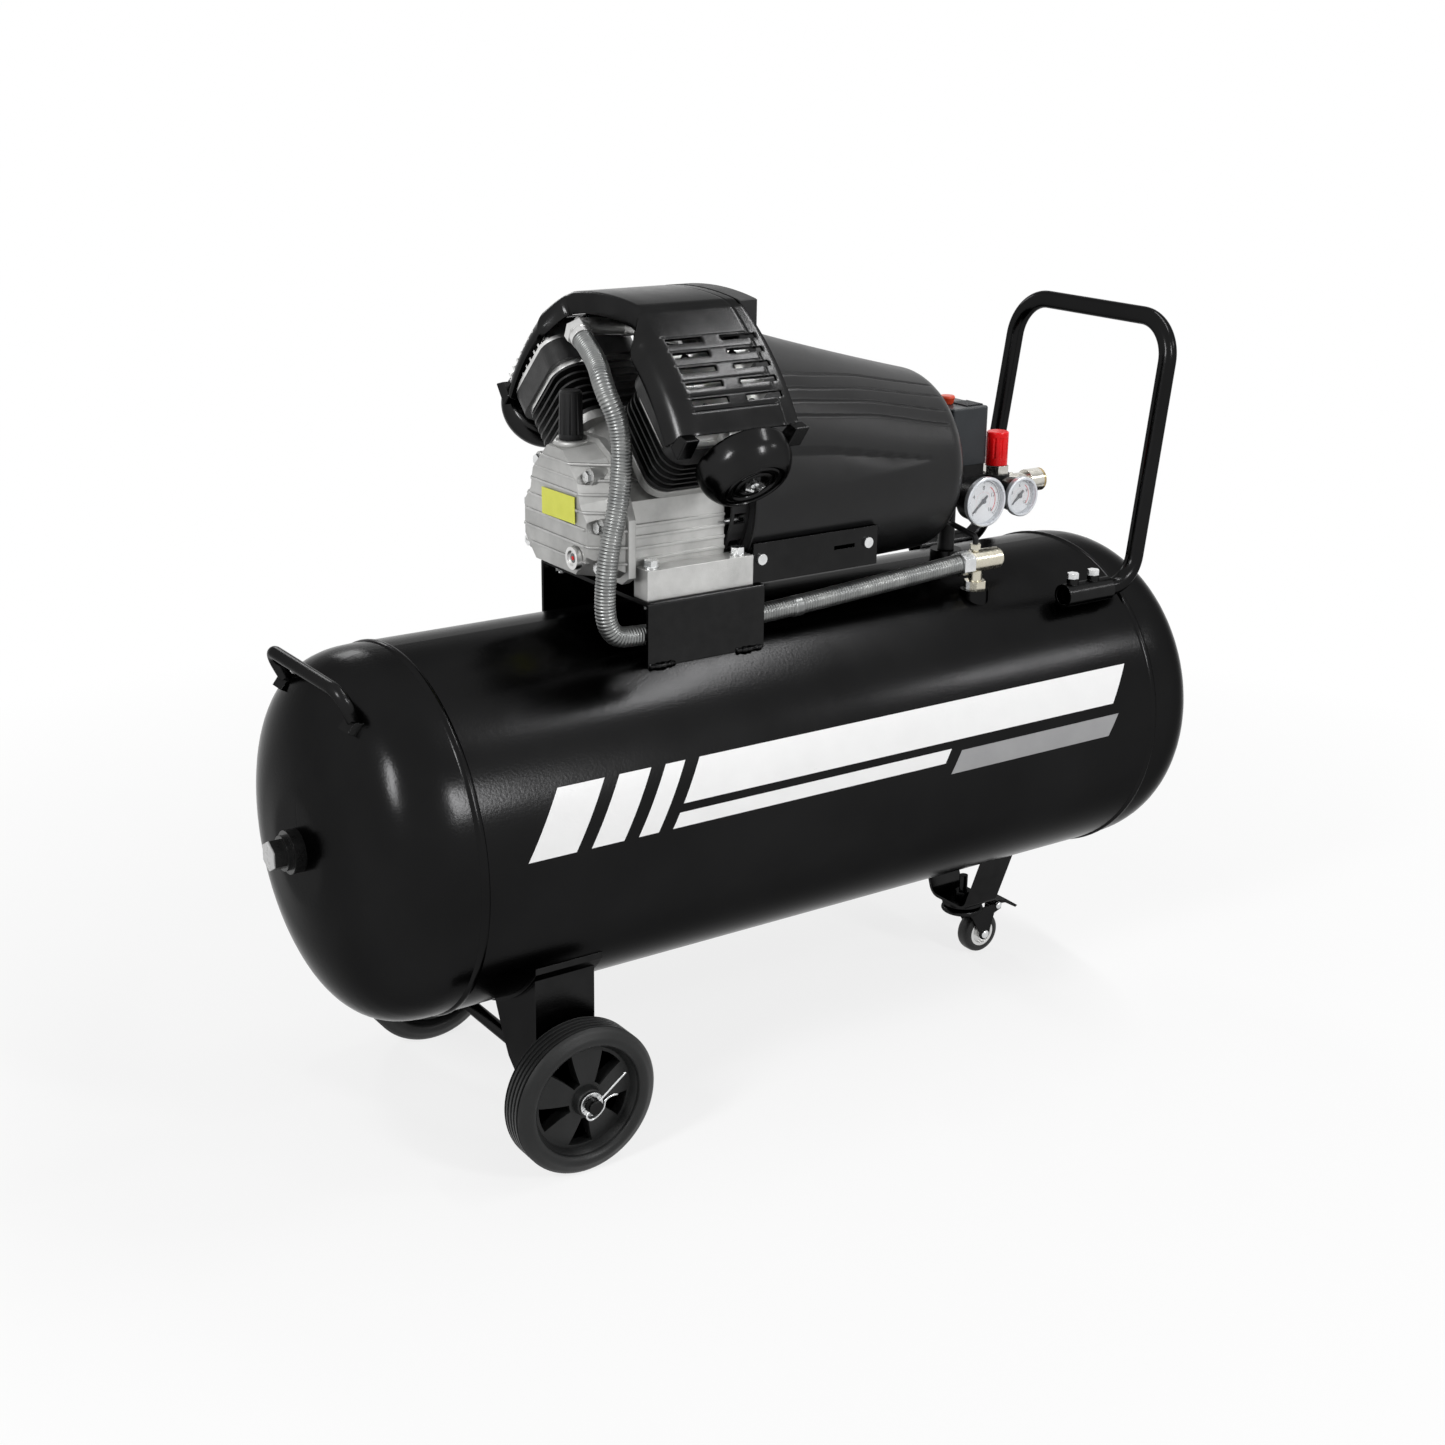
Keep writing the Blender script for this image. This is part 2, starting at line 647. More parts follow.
def shroud_posts(line):
    """Posts that stand on the cylinder heads and end just under the shell."""
    for name, side, bank_x in banks:
        out = Vector((0, side * lean, lean))
        for fore in (-0.026, 0.026):
            for across in (-0.026, 0.026):
                foot = (Vector((bank_x + fore, 0, crank_z)) + out * 0.15
                        + Vector((0, lean, -side * lean)) * across)
                spot = Vector((abs(foot.y), foot.z))
                tall = 0.0
                for _ in range(400):
                    if min((p - spot - Vector((lean, lean)) * tall).length for p in line) < 0.0035:
                        break
                    tall += 0.0006
                lathe(f"shroud_post_{name}_{fore > 0:d}{across > 0:d}",
                      [(0.0045, 0), (0.0045, min(tall, 0.09))], axis_frame(foot, out),
                      "black_plastic", 20)


def shroud_ears(front, length):
    """Screw ears at both ends of each hem."""
    for name, side in flanks:
        hem = Vector((side * hem_y, hem_z))
        outline = [(hem.x - side * 0.002, hem.y + 0.0015), (hem.x + side * 0.011, hem.y - 0.002),
                   (hem.x - side * 0.004, hem.y - 0.022), (hem.x - side * 0.015, hem.y - 0.011)]
        for end, start in (("front", front + 0.001), ("rear", front + length - 0.011)):
            points = [Vector((x, y, z)) for x in (start, start + 0.016) for y, z in outline]
            faces = [(0, 1, 2, 3), (7, 6, 5, 4)] + sides_of(4)
            ear = piece(f"shroud_ear_{name}_{end}", points, faces, "black_plastic", smooth=False)
            soften(ear, 0.0015, 3, 30)


def filters():
    """The turned bowls of the two intake filters, with rings in their faces."""
    bowl = rounded(mm((14, 10.2), (34, 10.5), (44.7, 15), (45.2, 25), (44.6, 34), (40, 43),
                      (34.5, 49), (30, 50)))
    face = mm((29.8, 49.6), (29.2, 47), (27.6, 46.6), (27, 48.8), (26.2, 49.4), (22.2, 49.4),
              (21.4, 48.8), (20.8, 46.6), (19.2, 46.6), (18.6, 48.6), (17.8, 49), (14.2, 49),
              (13.6, 48.4), (13, 46.4), (8, 46.2), (0, 46.2))
    reach, drop = 0.165, 0.053  # along the bank's axis, and down across it
    for name, side, x in banks:
        start = Vector((x, side * lean * (reach + drop), crank_z + lean * (reach - drop)))
        stands = ("intake_filters",) if side < 0 else ()
        sharpen(lathe(f"intake_filter_bowl_{name}", [(0, 0), (0.014, 0), *bowl, *face],
                      axis_frame(start, (0, side, -1)), "black_plastic", stands_for=stands), 40)


def hose():
    low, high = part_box("delivery_hose")
    level = low.y + 0.01
    start = Vector((-0.206 + shift_x, -0.004, crank_z + 0.157))
    first = Vector((-0.013, -0.082, -0.034)).normalized()
    bend = -0.233 + shift_x
    run_z = low.z + 0.0095
    side = -0.2145 + shift_x
    # the check valve stands on the tank where its top is 86 mm off the middle
    nut_z = sqrt(tank_radius**2 - 0.086**2) + tank_z + 0.036
    route = [start, start + first * 0.038, (-0.2275 + shift_x, level + 0.01, crank_z + 0.124),
             (side, level, crank_z + 0.088), (side, level, crank_z + 0.03),
             (bend, level, crank_z - 0.045), (bend, level, run_z + 0.004),
             (bend + 0.042, level, run_z), (-0.06 + shift_x, level, run_z),
             (0.1 + shift_x, level, run_z + 0.0105), (high.x, level, nut_z)]

    def radius(s):
        crest = abs(sin(pi * s / 0.0032))
        return 0.0089 + 0.0013 * crest**0.6

    run_tube("corrugated_hose", even(spline(route, 60), 0.00055), radius, "hose_steel", 28,
             stands_for=("delivery_hose",))
    crimp = rounded(mm((10, -6), (10.9, -5), (10.4, 0), (10.9, 5), (10, 6)), 1)
    place = axis_frame((-0.01 + shift_x, level, run_z + 0.003), (0.98, 0, 0.07))
    lathe("hose_crimp", crimp, place, "hose_steel", 40)


def cover_ledges():
    """Thin ledges that run round both flanks of the crankcase cover, and the breather's boss."""
    # (height, half width) in mm where the cover starts and at its face, and its screws
    base = ((-61, 66), (-53, 78), (-2, 78), (18, 66), (38, 60), (52, 44), (62, 24))
    face = ((-59, 38), (-38, 59), (-4, 59), (10, 47), (31, 42), (44, 28), (57, 14))
    screws = ((-48, 66), (-9, 66), (36, 47))
    proud = 4.0  # mm that they stand out of the cover
    rear_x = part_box("crankcase")[0].x
    front_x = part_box("crankcase_cover")[0].x + 0.0015

    def width(line, rise):
        for (z0, y0), (z1, y1) in zip(line, line[1:]):
            if z0 <= rise <= z1:
                return (y0 + (y1 - y0) * (rise - z0) / (z1 - z0) + proud) / 1000

    parts = []
    for rise in (-44, -28, -12, 4, 20, 33, 46):
        at_base, at_face = width(base, rise), width(face, rise)
        pocket = [y for z, y in screws if abs(z - rise) < 9.5]
        half = [(rear_x + 0.0005, at_base)]
        if pocket:
            stop = (pocket[0] - 9.0) / 1000
            behind = rear_x - 0.0195
            share = (rear_x - behind) / (rear_x - front_x)
            half += [(behind, at_base + (at_face - at_base) * share), (behind, stop),
                     (front_x - 0.0008, stop)]
        else:
            half += [(front_x + 0.0015, at_face), (front_x - 0.001, at_face - 0.0035)]
        level = crank_z + rise / 1000
        outline = half + [(x, -y) for x, y in reversed(half)]
        parts.append(prism(outline, level - 0.0012, level + 0.0012))
    soften(piece("cover_ledges", *join(parts), "die_cast", smooth=False), 0.0004)
    middle = (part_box("oil_breather_cap")[0].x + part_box("oil_breather_cap")[1].x) / 2
    boss = Matrix.Translation((middle, 0, crank_z + 0.0445))
    rib = prism(mm((-15.5, -2), (-15.5, 2), (0, 2), (0, -2)), 0, 0.0175, boss)
    soften(piece("breather_rib", *rib, "die_cast", smooth=False), 0.0005)
    lathe("breather_boss", mm((15, 0), (15.6, 13), (16.6, 14), (16.6, 17.6), (15.8, 18.4),
                              (12.2, 18.6)), boss, "die_cast", 64)


def label_and_glass():
    """The yellow label on the crankcase cover, and the sight glass with its red dot."""
    work = bmesh.new()
    bmesh.ops.create_cube(work, size=1)
    for vertex in work.verts:
        x, y, z = vertex.co
        vertex.co = (x * 0.0006 - 0.0001, y * 0.062, z * 0.026)
    bmesh.ops.bevel(work, geom=list(work.edges), offset=0.0001, segments=2, profile=0.5,
                    affect="EDGES")
    place = Matrix.Translation((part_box("crankcase_cover")[0].x, -0.009, 0.617))
    bmesh.ops.transform(work, matrix=place @ Matrix.Rotation(radians(-1), 4, "X"),
                        verts=work.verts)
    work.verts.ensure_lookup_table()
    points = [vertex.co.copy() for vertex in work.verts]
    faces = [tuple(vertex.index for vertex in face.verts) for face in work.faces]
    work.free()
    piece("cover_label", points, faces, "yellow_label", smooth=False)
    lens = rounded(mm((7.4, -2), (7.4, 0), (5, 0.9), (0, 1.1)), 2)
    dot = mm((2.1, -1.2), (2.1, 0), (1.7, 0.3), (0, 0.3))
    for name, profile, deep, slot, turns in (("lens", lens, 0.0028, "dark_glass", 48),
                                             ("dot", dot, 0.0016, "red_plastic", 32)):
        spot = (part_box("sight_glass")[0].x + deep, -0.04, 0.572)
        lathe("sight_glass_" + name, profile, axis_frame(spot, (-1, 0, 0)), slot, turns)


# ------------------------------------------------------------------ motor cover
cover_front, cover_end = -0.068 + shift_x, 0.208 + shift_x
cover_round = 0.022  # radius of the edge at the far end
# four fine grooves on each side: (x in mm of the drawing, angle above the level of the spindle)
grooves = (((-55, 46), (1, 51.8), (90, 58.5), (189, 60.7)),
           ((-55, 40), (1, 44.5), (94, 49.9), (193, 51.2)),
           ((-55, 34.5), (2, 38.5), (94, 42.1), (191, 40.5)),
           ((-55, 29), (-2, 31.9), (94, 34.3), (191, 31)))
scoop_start, scoop_end = -70, 162  # x of the long scoop, in mm of the drawing


def cover_half(x):
    """Half the cover's width, and the depth of its lower half."""
    t = (x - cover_front) / (cover_end - cover_front)
    return 0.097 - 0.003 * max(0, (t - 0.47) / 0.53) ** 1.5


def cover_rise(x):
    """Height of the cover's back over the spindle."""
    x = (x - shift_x) * 1000 - 62
    return (131 - 0.26831 * x + 0.00012542 * x**2) / 1000


def groove_depth(line, x_mm, angle):
    """How deep one fine groove cuts at this place; it fades out toward the cover's end."""
    for (x0, a0), (x1, a1) in zip(line, line[1:]):
        if x0 <= x_mm <= x1:
            t = (x_mm - x0) / (x1 - x0)
            middle = a0 + (a1 - a0) * (eased(t) * 0.4 + t * 0.6)
            across = abs(angle - middle) / 0.75
            return 0.0013 * max(0, 1 - across**2) * clamp((190 - x_mm) / 12)
    return 0.0


def scoop_depth(x_mm, angle):
    """How deep the long scoop cuts at this place, between its lower and its upper edge."""
    if not scoop_start < x_mm < scoop_end:
        return 0.0
    upper = 18.5 - 7 * max(0, (x_mm - 20) / (scoop_end - 20)) ** 1.3
    lower = 1 + 9 * max(0, (x_mm - scoop_start) / (scoop_end - scoop_start)) ** 1.6
    if not lower < angle < upper:
        return 0.0
    t = (upper - angle) / (upper - lower)
    return 0.0056 * ((1 - t) ** 1.2 * min(1, t / 0.06)) * min(1, (scoop_end - x_mm) / 60)


def motor_cover():
    """The long moulded shell, with four fine grooves and one long scoop on each side."""
    xs = [cover_front + (cover_end - cover_round - cover_front) * k / 110 for k in range(111)]
    xs += [cover_end - cover_round + cover_round * sin(pi / 2 * k / 10)
           for k in range(1, 11)]
    angles = []
    angle = -90.0
    while angle < 270 - 0.01:
        angles.append(angle)
        folded = min(angle, 180 - angle)
        angle += 0.5 if 27 < folded < 63 else (1.0 if -1 < folded < 20 else 3.0)
    angles.append(270.0)
    rows = []
    for x in xs:
        x_mm = (x - shift_x) * 1000
        past = max(x - (cover_end - cover_round), 0)
        inset = cover_round - sqrt(max(cover_round**2 - past**2, 0))
        row = []
        for angle in angles:
            folded, t = min(angle, 180 - angle), radians(angle)
            up = cover_rise(x) if sin(t) > 0 else cover_half(x)
            sink = inset + max(scoop_depth(x_mm, folded),
                               *(groove_depth(line, x_mm, folded) for line in grooves))
            row.append(Vector((x, -(cover_half(x) - sink) * cos(t),
                               crank_z + (up - sink) * sin(t))))
        rows.append(row)
    # the shell's underside starts behind the front wall, clear of the pump's saddle
    skip = {(r, c) for r in range(len(xs) - 1) for c in range(len(angles) - 1)
            if xs[r] < -0.056 + shift_x and rows[r][c].z < 0.5365}
    cover = piece("motor_cover_shell", *grid(rows, skip), "satin_plastic",
                  stands_for=("motor_cover",))
    thicken(cover, 0.0028, from_axis)


def motor_end():
    """The flat end wall, crossed by seven cooling slots."""
    radius = cover_half(cover_end) - cover_round + 0.0004
    slot_pitch, slot_half, levels = 0.016, 0.003, range(-3, 4)
    bands = sorted({round(radius * sin(pi * k / 60), 5) for k in range(-30, 31)}
                   | {level * slot_pitch + d for level in levels for d in (-slot_half, slot_half)})
    points, faces = [], []
    for z0, z1 in zip(bands, bands[1:]):
        middle = (z0 + z1) / 2
        slot = next((k for k in levels if abs(middle - k * slot_pitch) < slot_half), None)
        spans = [(-1, 1)]  # a 1 stands for the rim
        if slot is not None:
            reach = sqrt((0.094 - 0.026) ** 2 - (slot * slot_pitch) ** 2)
            spans = [(-1, -reach), (reach, 1)]
        for a, b in spans:
            for z, ends in ((z0, (a, b)), (z1, (b, a))):
                rim = sqrt(max(radius**2 - z**2, 0))
                points += [Vector((cover_end, copysign(rim, y) if abs(y) == 1 else y,
                                   crank_z + z)) for y in ends]
            faces.append(tuple(range(len(points) - 4, len(points))))
    wall = piece("motor_cover_end", points, faces, "satin_plastic", smooth=False)
    thicken(wall, 0.0028, lambda face: face.normal.x)


def motor_collar():
    """The slotted collar between the pump and the cover, and the cover's front wall."""
    radius, count = 0.085, 18
    half_slot = degrees(0.0055 / radius)
    marks = []
    for k in range(count):
        middle = k * 20 + 10
        marks += [middle - half_slot, middle, middle + half_slot,
                  middle + half_slot + (20 - 2 * half_slot) / 2]
    marks.append(marks[0] + 360)
    ring = [polar(radius, mark) for mark in marks]
    rows = [[Vector((x, y, crank_z + z)) for y, z in ring]
            for x in (-0.088 + shift_x, -0.085 + shift_x, -0.071 + shift_x, cover_front)]
    skip = {(1, c) for c in range(len(marks) - 1) if c % 4 in (0, 1)}
    thicken(piece("motor_collar", *grid(rows, skip), "matte_plastic", smooth=False),
            0.003, from_axis)
    rows = [[], []]
    for k in range(97):
        t = 2 * pi * k / 96
        wide = cover_half(cover_front)
        up = cover_rise(cover_front) if sin(t) > 0 else wide
        for row, across, tall, lowest in ((rows[0], 0.0835, 0.0835, 0.5368),
                                          (rows[1], wide - 0.001, up - 0.001, 0.5366)):
            row.append(Vector((cover_front + 0.0004, across * cos(t),
                               max(crank_z + tall * sin(t), lowest))))
    thicken(piece("motor_cover_front", *grid(rows), "matte_plastic", smooth=False), 0.002)


# ------------------------------------------------------------------ wheels
def wheels():
    """Two wheels: a grooved tyre, a dished barrel, a web with five windows and a hub."""
    half = 20  # mm
    for name, side in (("front", -1), ("rear", 1)):
        body = name + "_wheel"
        low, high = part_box(body + "_tyre")
        radius = (high.z - low.z) * 500  # mm
        place = facing((low + high) / 2, side)
        outer = rounded(mm((56.2, half - 6.4), (57.2, half - 3), (60.5, half - 0.4),
                           (65, half - 0.2), (69, half - 2.2), (73, half - 4.2),
                           (radius - 0.6, half - 6.6)))
        tread = []
        for y in (11.2, 5.6, 0, -5.6, -11.2):
            tread += mm((radius, y + 1.5), (radius - 2.1, y + 0.9), (radius - 2.1, y - 0.9),
                        (radius, y - 1.5))
        profile = both_ways(outer, tread)
        sharpen(lathe(body + "_tyre_rubber", profile + profile[:1], place, "tyre", 128,
                      body=body, stands_for=(body + "_tyre",)))
        lip = rounded(mm((52.4, half - 15), (53.4, half - 11.8), (55.2, half - 8),
                         (56.8, half - 5.4)), 2)
        sharpen(lathe(body + "_barrel", mm((52.4, 15 - half)) + both_ways(lip), place, "tyre",
                      128, body=body, stands_for=(body + "_rim",)))

        # rings of the web from the hub out: each window has 4 cells, each spoke 8
        rows = []
        for r in (15, 17, 19, 24, 30, 36, 42, 47, 49.5, 52.8):
            part = clamp((r - 17) / 34)
            opening = 11 + 5 * part
            row = []
            for spoke in range(5):
                start = 121 + 72 * spoke
                cells = [start - opening + 2 * opening * k / 4 for k in range(4)]
                cells += [start + opening + (72 - 2 * opening) * k / 8 for k in range(8)]
                row += [place @ Vector((*polar(r / 1000, a), (half - 8.5 - 5.5 * part) / 1000))
                        for a in cells]
            rows.append(row + [row[0]])
        skip = {(r, c) for r in range(2, 8) for c in range(60) if c % 12 < 4}
        web = piece(body + "_web", *grid(rows, skip), "tyre", body=body, smooth=False)
        weld(web)
        thicken(web, 0.022, lambda face: face.normal.y * side)
        soften(web, 0.0007)
        hub = rounded(mm((8.5, half - 0.4), (13, half - 0.4), (14.2, half - 1.2),
                         (15.6, half - 9)), 2)
        line = [*mm((7.9, 0.4 - half), (7.9, half - 0.4)), *hub,
                *mm((15.6, 4 - half), (14.2, 0.4 - half), (7.9, 0.4 - half))]
        sharpen(lathe(body + "_hub", line, place, "tyre", 64, body=body))


def axle():
    """The through axle with a washer, a spacer and a wire clip at each wheel."""
    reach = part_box("wheel_axle")[1].y * 1000  # mm
    tyre_low, tyre_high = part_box("front_wheel_tyre")
    x, z = (tyre_low.x + tyre_high.x) / 2, (tyre_low.z + tyre_high.z) / 2
    rod = mm((0, -reach), (6.2, -reach), (7.4, 1.2 - reach), (7.4, reach - 1.2), (6.2, reach),
             (0, reach))
    sharpen(lathe("wheel_axle_bar", rod, axis_frame((x, 0, z), (0, 1, 0)), "bracket_paint", 48,
                  stands_for=("wheel_axle",)))
    washer = mm((7.8, 0.4), (11.8, 0.4), (12.2, 0.8), (12.2, 2), (11.8, 2.4), (7.8, 2.4),
                (7.8, 0.4))
    spacer = mm((7.8, -40.2), (13, -40.2), (13, -44.4), (7.8, -44.4), (7.8, -40.2))
    # the clip's wire, along a slanting line across the axle's end and aside from it
    wire = mm((44, 0), (10, 0), (-8, 0), (-12.5, 1), (-12.5, 8.5), (-4, 11.5), (6, 10.5),
              (11, 4.5), (19, 6), (24, 11))
    turns = [Vector((0.8, 0.6, 0)) * a + Vector((0.6, -0.8, 0)) * b for a, b in wire]
    for name, side in (("front", -1), ("rear", 1)):
        face = facing((x, side * -tyre_low.y, z), side)
        sharpen(lathe(f"wheel_washer_{name}", washer, face, "zinc", 64))
        sharpen(lathe(f"wheel_spacer_{name}", spacer, face, "zinc", 48))
        path = [face @ (p + Vector((0, 0, 0.0062))) for p in spline(turns, 12)]
        run_tube(f"wheel_clip_{name}", path, lambda s: 0.0011, "zinc", 12)


def castor():
    """The castor's swivel head, its two legs with nuts and rivets, and its wheel; in mm."""
    stem_low, stem_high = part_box("castor_stem")
    wheel_low, wheel_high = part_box("castor_wheel")
    x = (stem_low.x + stem_high.x) * 500
    axle_x, axle_z = (wheel_low.x + wheel_high.x) * 500, (wheel_low.z + wheel_high.z) * 500
    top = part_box("castor_fork")[1].z * 1000
    low = top - 8.5
    plate = rounded(mm((0, low), (19, low), (24.6, top - 6.2), (25, top - 3),
                       (22.5, top - 0.2), (0, top)), 2)
    plate = [*mm((9.2, low)), *(p for p in plate if p.x > 0.0092),
             *mm((5.5, top), (5.5, top - 4), (9.2, top - 4), (9.2, low))]
    sharpen(lathe("castor_fork_head", plate, Matrix.Translation((x / 1000, 0, 0)),
                  "bracket_paint", 72, body="castor_swivel", stands_for=("castor_fork",)), 40)
    inner, outer, eye = 11.5, 14, 7.2
    outline = mm((x - 4, low + 3), (axle_x + 16, low + 3), (axle_x + 24.5, low + 5.5),
                 (axle_x + 24.5, low - 4), (axle_x + 14, low - 8), (axle_x + eye, axle_z))
    outline += mm(*((axle_x + a, axle_z + b) for a, b in
                    (polar(eye, t) for t in range(-15, -196, -15))), (x + 6, low - 8.5))
    for name, side in flanks:
        ends = sorted((-side * inner / 1000, -side * outer / 1000))
        soften(piece(f"castor_fork_leg_{name}", *prism(outline, *ends, upright),
                     "bracket_paint", body="castor_swivel", smooth=False), 0.0007)
        for tag, spot_x, spot_z, size in (("nut", axle_x, axle_z, 5.2),
                                          ("rivet", axle_x + 19, low + 1, 4.2)):
            dome = rounded(mm((size, 0), (size, 1.6), (size * 0.6, 3), (0, 3.4)), 2)
            place = facing(mm((spot_x, side * outer, spot_z))[0], side)
            lathe(f"castor_{tag}_{name}", dome, place, "zinc", 32, body="castor_swivel")
    half = (wheel_high.y - wheel_low.y) * 500 - 1.6
    big = (wheel_high.z - wheel_low.z) * 500
    tyre = both_ways(rounded(mm((16.2, half - 1.2), (17.8, half), (big - 4.8, half),
                                (big - 1.2, half - 1.4), (big, half - 5), (big, 0)), 2))
    place = axis_frame((axle_x / 1000, 0, axle_z / 1000), (0, 1, 0))
    sharpen(lathe("castor_tyre", tyre + tyre[:1], place, "castor_rubber", 96,
                  body="castor_roller", stands_for=("castor_wheel",)), 40)
    core = both_ways(mm((3.5, half + 1.6), (6.8, half + 1.6), (7, half - 3), (12.5, half - 3.6),
                        (13, half - 0.4), (16.4, half - 0.4), (16.6, half - 2)))
    sharpen(lathe("castor_core", core + core[:1], place, "aluminium", 64,
                  body="castor_roller"), 40)


# ------------------------------------------------------------------ gauges and switch
def digits(words, size, place):
    """Points and faces of a short number that lies flat on a dial."""
    data = bpy.data.curves.new("number", "FONT")
    data.body = words
    data.size = size
    data.align_x = "CENTER"
    data.align_y = "CENTER"
    data.extrude = 0.00006
    carrier = bpy.data.objects.new("number", data)
    mesh = bpy.data.meshes.new_from_object(carrier)
    points = [place @ v.co for v in mesh.vertices]
    faces = [tuple(p.vertices) for p in mesh.polygons]
    bpy.data.objects.remove(carrier)
    bpy.data.meshes.remove(mesh)
    return points, faces


def sector(place, inner, outer, start, end):
    """Points and faces of part of a flat ring, between two angles in degrees."""
    steps = max(2, int(abs(end - start) / 3))
    return grid([[place @ Vector((*polar(radius, start + (end - start) * k / steps), 0.0001))
                  for k in range(steps + 1)] for radius in (inner, outer)])


def gauges():
    """Ticks, numbers and arcs on both dials, and the needles' hubs."""
    low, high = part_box("gauge_lenses")
    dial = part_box("gauge_dials")[0].y
    level = (low.z + high.z) / 2
    start, sweep = 225, 270  # the scale runs clockwise from the lower left
    large = 0.0235
    for name, needle, x, radius, top in (
            ("large", "tank_needle", low.x + large, large, 16),
            ("small", "outlet_needle", high.x - 0.0183, 0.0183, 12)):
        place = Matrix.Translation((x, dial - 0.00012, level)) @ upright
        black = []
        for k in range(41):
            angle = start - sweep * k / 40
            inner, wide = ((0.78, 1.6) if k % 10 == 0 else (0.82, 1.1) if k % 5 == 0
                           else (0.86, 0.7))
            wide = wide * large / radius
            black.append(sector(place, radius * inner, radius * 0.91,
                                angle - wide / 2, angle + wide / 2))
        for k in range(5):
            spot = Vector((*polar(radius * 0.6, start - sweep * k / 4), 0.00008))
            black.append(digits(str(top * k // 4), radius * 0.26,
                                place @ Matrix.Translation(spot)))
        black.append(sector(place, radius * 0.905, radius * 0.925, start, start - sweep))
        red = [sector(place, radius * 0.7, radius * 0.735, start - sweep * 0.62, start - sweep)]
        red += [sector(place, radius * 0.4, radius * 0.44, start - sweep * k / 20 - 0.8,
                       start - sweep * k / 20 + 0.8) for k in range(21)]
        for tag, parts, slot in (("scale", black, "needle_black"), ("red_arc", red, "red_plastic")):
            piece(f"gauge_{tag}_{name}", *join(parts), slot, smooth=False)
        lathe(f"gauge_hub_{name}", mm((2.2, -1), (2.2, 1), (1.8, 1.4), (0, 1.4)),
              axis_frame((x, dial - 0.0019, level), (0, -1, 0)), "needle_black", 32, body=needle)


def switch_vents():
    """Seven raised bars on the top of the switch cover."""
    low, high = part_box("pressure_switch_cover")
    parts = []
    for k in range(7):
        x = low.x + 0.0245 + 0.0034 * k
        outline = [(x, low.y + 0.007), (x + 0.0018, low.y + 0.007), (x + 0.0018, low.y + 0.033),
                   (x, low.y + 0.033)]
        parts.append(prism(outline, high.z - 0.0002, high.z + 0.0014))
    soften(piece("switch_vent_bars", *join(parts), "switch_plastic", smooth=False), 0.0003)


# ------------------------------------------------------------------ receiver
def stripes():
    """Slanted films on the receiver's near side: (name, start, end, low, high, slot).

    Start and end run along the tank where the film's height is 0, low and high follow its curve.
    """
    radius = tank_radius + 0.00025
    for name, start, end, low, high, slot in (
            ("tank_stripe_a", -0.384, -0.334, 0.018, 0.08, "white_film"),
            ("tank_stripe_b", -0.318, -0.283, 0.018, 0.08, "white_film"),
            ("tank_stripe_c", -0.267, -0.245, 0.018, 0.08, "white_film"),
            ("tank_stripe_d", -0.229, 0.33, 0.04, 0.08, "white_film"),
            ("tank_stripe_e", -0.229, 0.105, 0.018, 0.032, "white_film"),
            ("tank_band", 0.121, 0.345, 0.005, 0.028, "grey_film")):
        slant_low, slant_high = 0.04 * low / 0.062, 0.04 * high / 0.062
        rows = []
        for i in range(17):
            left = start + slant_low + (slant_high - slant_low) * i / 16
            right = left + end - start
            angle = (low + (high - low) * i / 16) / tank_radius
            rows.append([Vector((left + (right - left) * j / 24 + shift_x,
                                 -radius * cos(angle), tank_z + radius * sin(angle)))
                         for j in range(25)])
        piece(name, *grid(rows), slot)


def weld_beads():
    """Rippled beads where the saddle's ends meet the tank."""
    def radius(s):
        return 0.0022 + 0.0009 * sin(s * 1700) + 0.0005 * sin(s * 640 + 1)

    low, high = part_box("pump_saddle")
    for name, start, end in (("left", low.x + 0.002, low.x + 0.03),
                             ("right", high.x - 0.032, high.x - 0.003)):
        path = [Vector((start + (end - start) * k / 59, low.y - 0.0005 + 0.0006 * sin(k * 0.9),
                        low.z + 0.0012)) for k in range(60)]
        run_tube(f"saddle_weld_{name}", path, radius, "bracket_paint", 12)


for build in (shroud, filters, hose, label_and_glass, cover_ledges, motor_cover, motor_end,
              motor_collar, wheels, axle, castor, switch_vents, gauges, stripes, weld_beads):
    build()


# ------------------------------------------------------------------ floor, light and background
def seen_rays(tree):
    """1 for the rays of the camera, mirrors and glass, 0 for the light that bounces."""
    path = tree.nodes.new("ShaderNodeLightPath")
    total = path.outputs["Is Camera Ray"]
    for ray in ("Is Glossy Ray", "Is Transmission Ray"):
        most = tree.nodes.new("ShaderNodeMath")
        most.operation = "MAXIMUM"
        tree.links.new(total, most.inputs[0])
        tree.links.new(path.outputs[ray], most.inputs[1])
        total = most.outputs[0]
    return total


def blend(tree, fraction, first, second, output):
    """Mix two shaders into an output."""
    made = tree.nodes.new("ShaderNodeMixShader")
    for socket, source in zip(made.inputs, (fraction, first, second)):
        tree.links.new(source, socket)
    tree.links.new(made.outputs[0], output.inputs["Surface"])


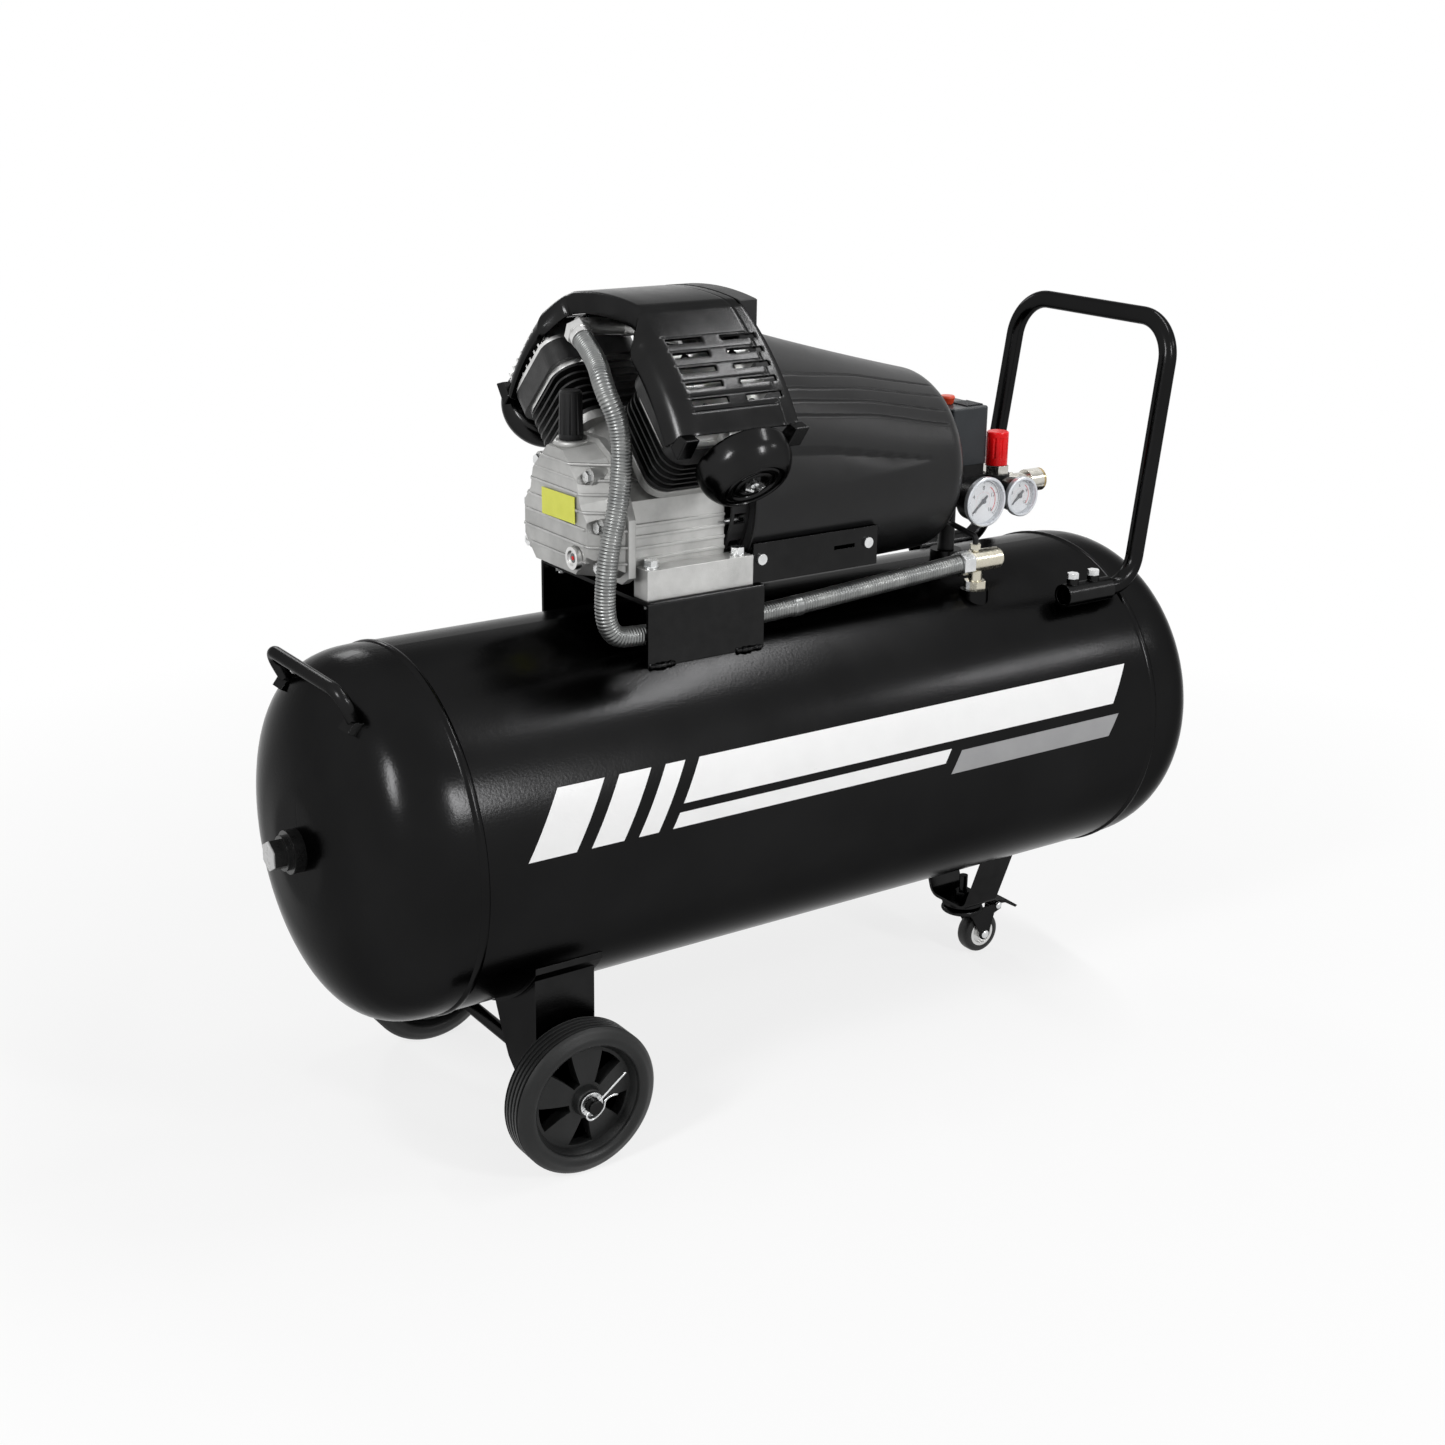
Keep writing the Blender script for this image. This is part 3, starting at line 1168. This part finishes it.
def floor():
    """A white floor, part of whose white is its own glow, so that it fades into the background."""
    paint = Finish("floor", Roughness=0.9, Specular_IOR_Level=0.1)
    speck = paint.range(paint.noise(3, 3), 0, 1, 0.86, 0.9)
    grey = paint.node("ShaderNodeCombineColor", {"Red": speck, "Green": speck, "Blue": speck})
    paint.put(paint.shader.inputs["Base Color"], grey.outputs[0])
    glow = paint.node("ShaderNodeEmission", {"Color": (1, 1, 1), "Strength": 1.0})
    away = paint.node("ShaderNodeVectorMath", {0: paint.coords}, operation="LENGTH")
    share = paint.range(away.outputs["Value"], 0.7, 1.6, 0.78, 1.0)
    blend(paint.tree, paint.maths("MULTIPLY", seen_rays(paint.tree), share),
          paint.shader.outputs[0], glow.outputs[0], paint.tree.nodes["Material Output"])
    mesh = bpy.data.meshes.new("floor")
    reach, drop = 12, -0.0004
    mesh.from_pydata([(-reach, -reach, drop), (reach, -reach, drop),
                      (reach, reach, drop), (-reach, reach, drop)], [], [(0, 1, 2, 3)])
    mesh.materials.append(paint.material)
    slab = bpy.data.objects.new("floor", mesh)
    scene.collection.objects.link(slab)


def background():
    """White as seen, but a faint light of its own."""
    world = bpy.data.worlds.new("studio")
    scene.world = world
    world.use_nodes = True
    tree = world.node_tree
    tree.nodes.clear()
    shades = []
    for strength in (0.22, 1.0):
        shade = tree.nodes.new("ShaderNodeBackground")
        shade.inputs["Color"].default_value = (1, 1, 1, 1)
        shade.inputs["Strength"].default_value = strength
        shades.append(shade.outputs[0])
    blend(tree, seen_rays(tree), *shades, tree.nodes.new("ShaderNodeOutputWorld"))


def lamps():
    """Five soft boxes: name, place, what it points at, size and watts."""
    for name, place, aim, size, power in (
            ("left", (-2.6, -0.9, 1.9), (-0.3, 0, 0.4), (0.46, 0.95), 44),
            ("front", (0.62, -2.45, 1.75), (0.0, 0, 0.35), (0.3, 0.72), 26),
            ("above", (1.3, -0.2, 2.6), (0.3, 0, 0.4), (1.8, 0.12), 26),
            ("right", (2.4, -2.0, 2.0), (0.2, 0, 0.4), (0.3, 0.3), 8),
            ("behind", (0.3, 2.8, 1.7), (0.0, 0, 0.4), (0.6, 0.6), 16)):
        data = bpy.data.lights.new(name, "AREA")
        data.shape = "RECTANGLE"
        data.size, data.size_y = size
        data.energy = power
        lamp = bpy.data.objects.new(name, data)
        away = (Vector(aim) - Vector(place)).to_track_quat("-Z", "Y")
        lamp.matrix_world = Matrix.Translation(place) @ away.to_matrix().to_4x4()
        scene.collection.objects.link(lamp)


floor()
background()
lamps()
scene.view_settings.view_transform = "Standard"
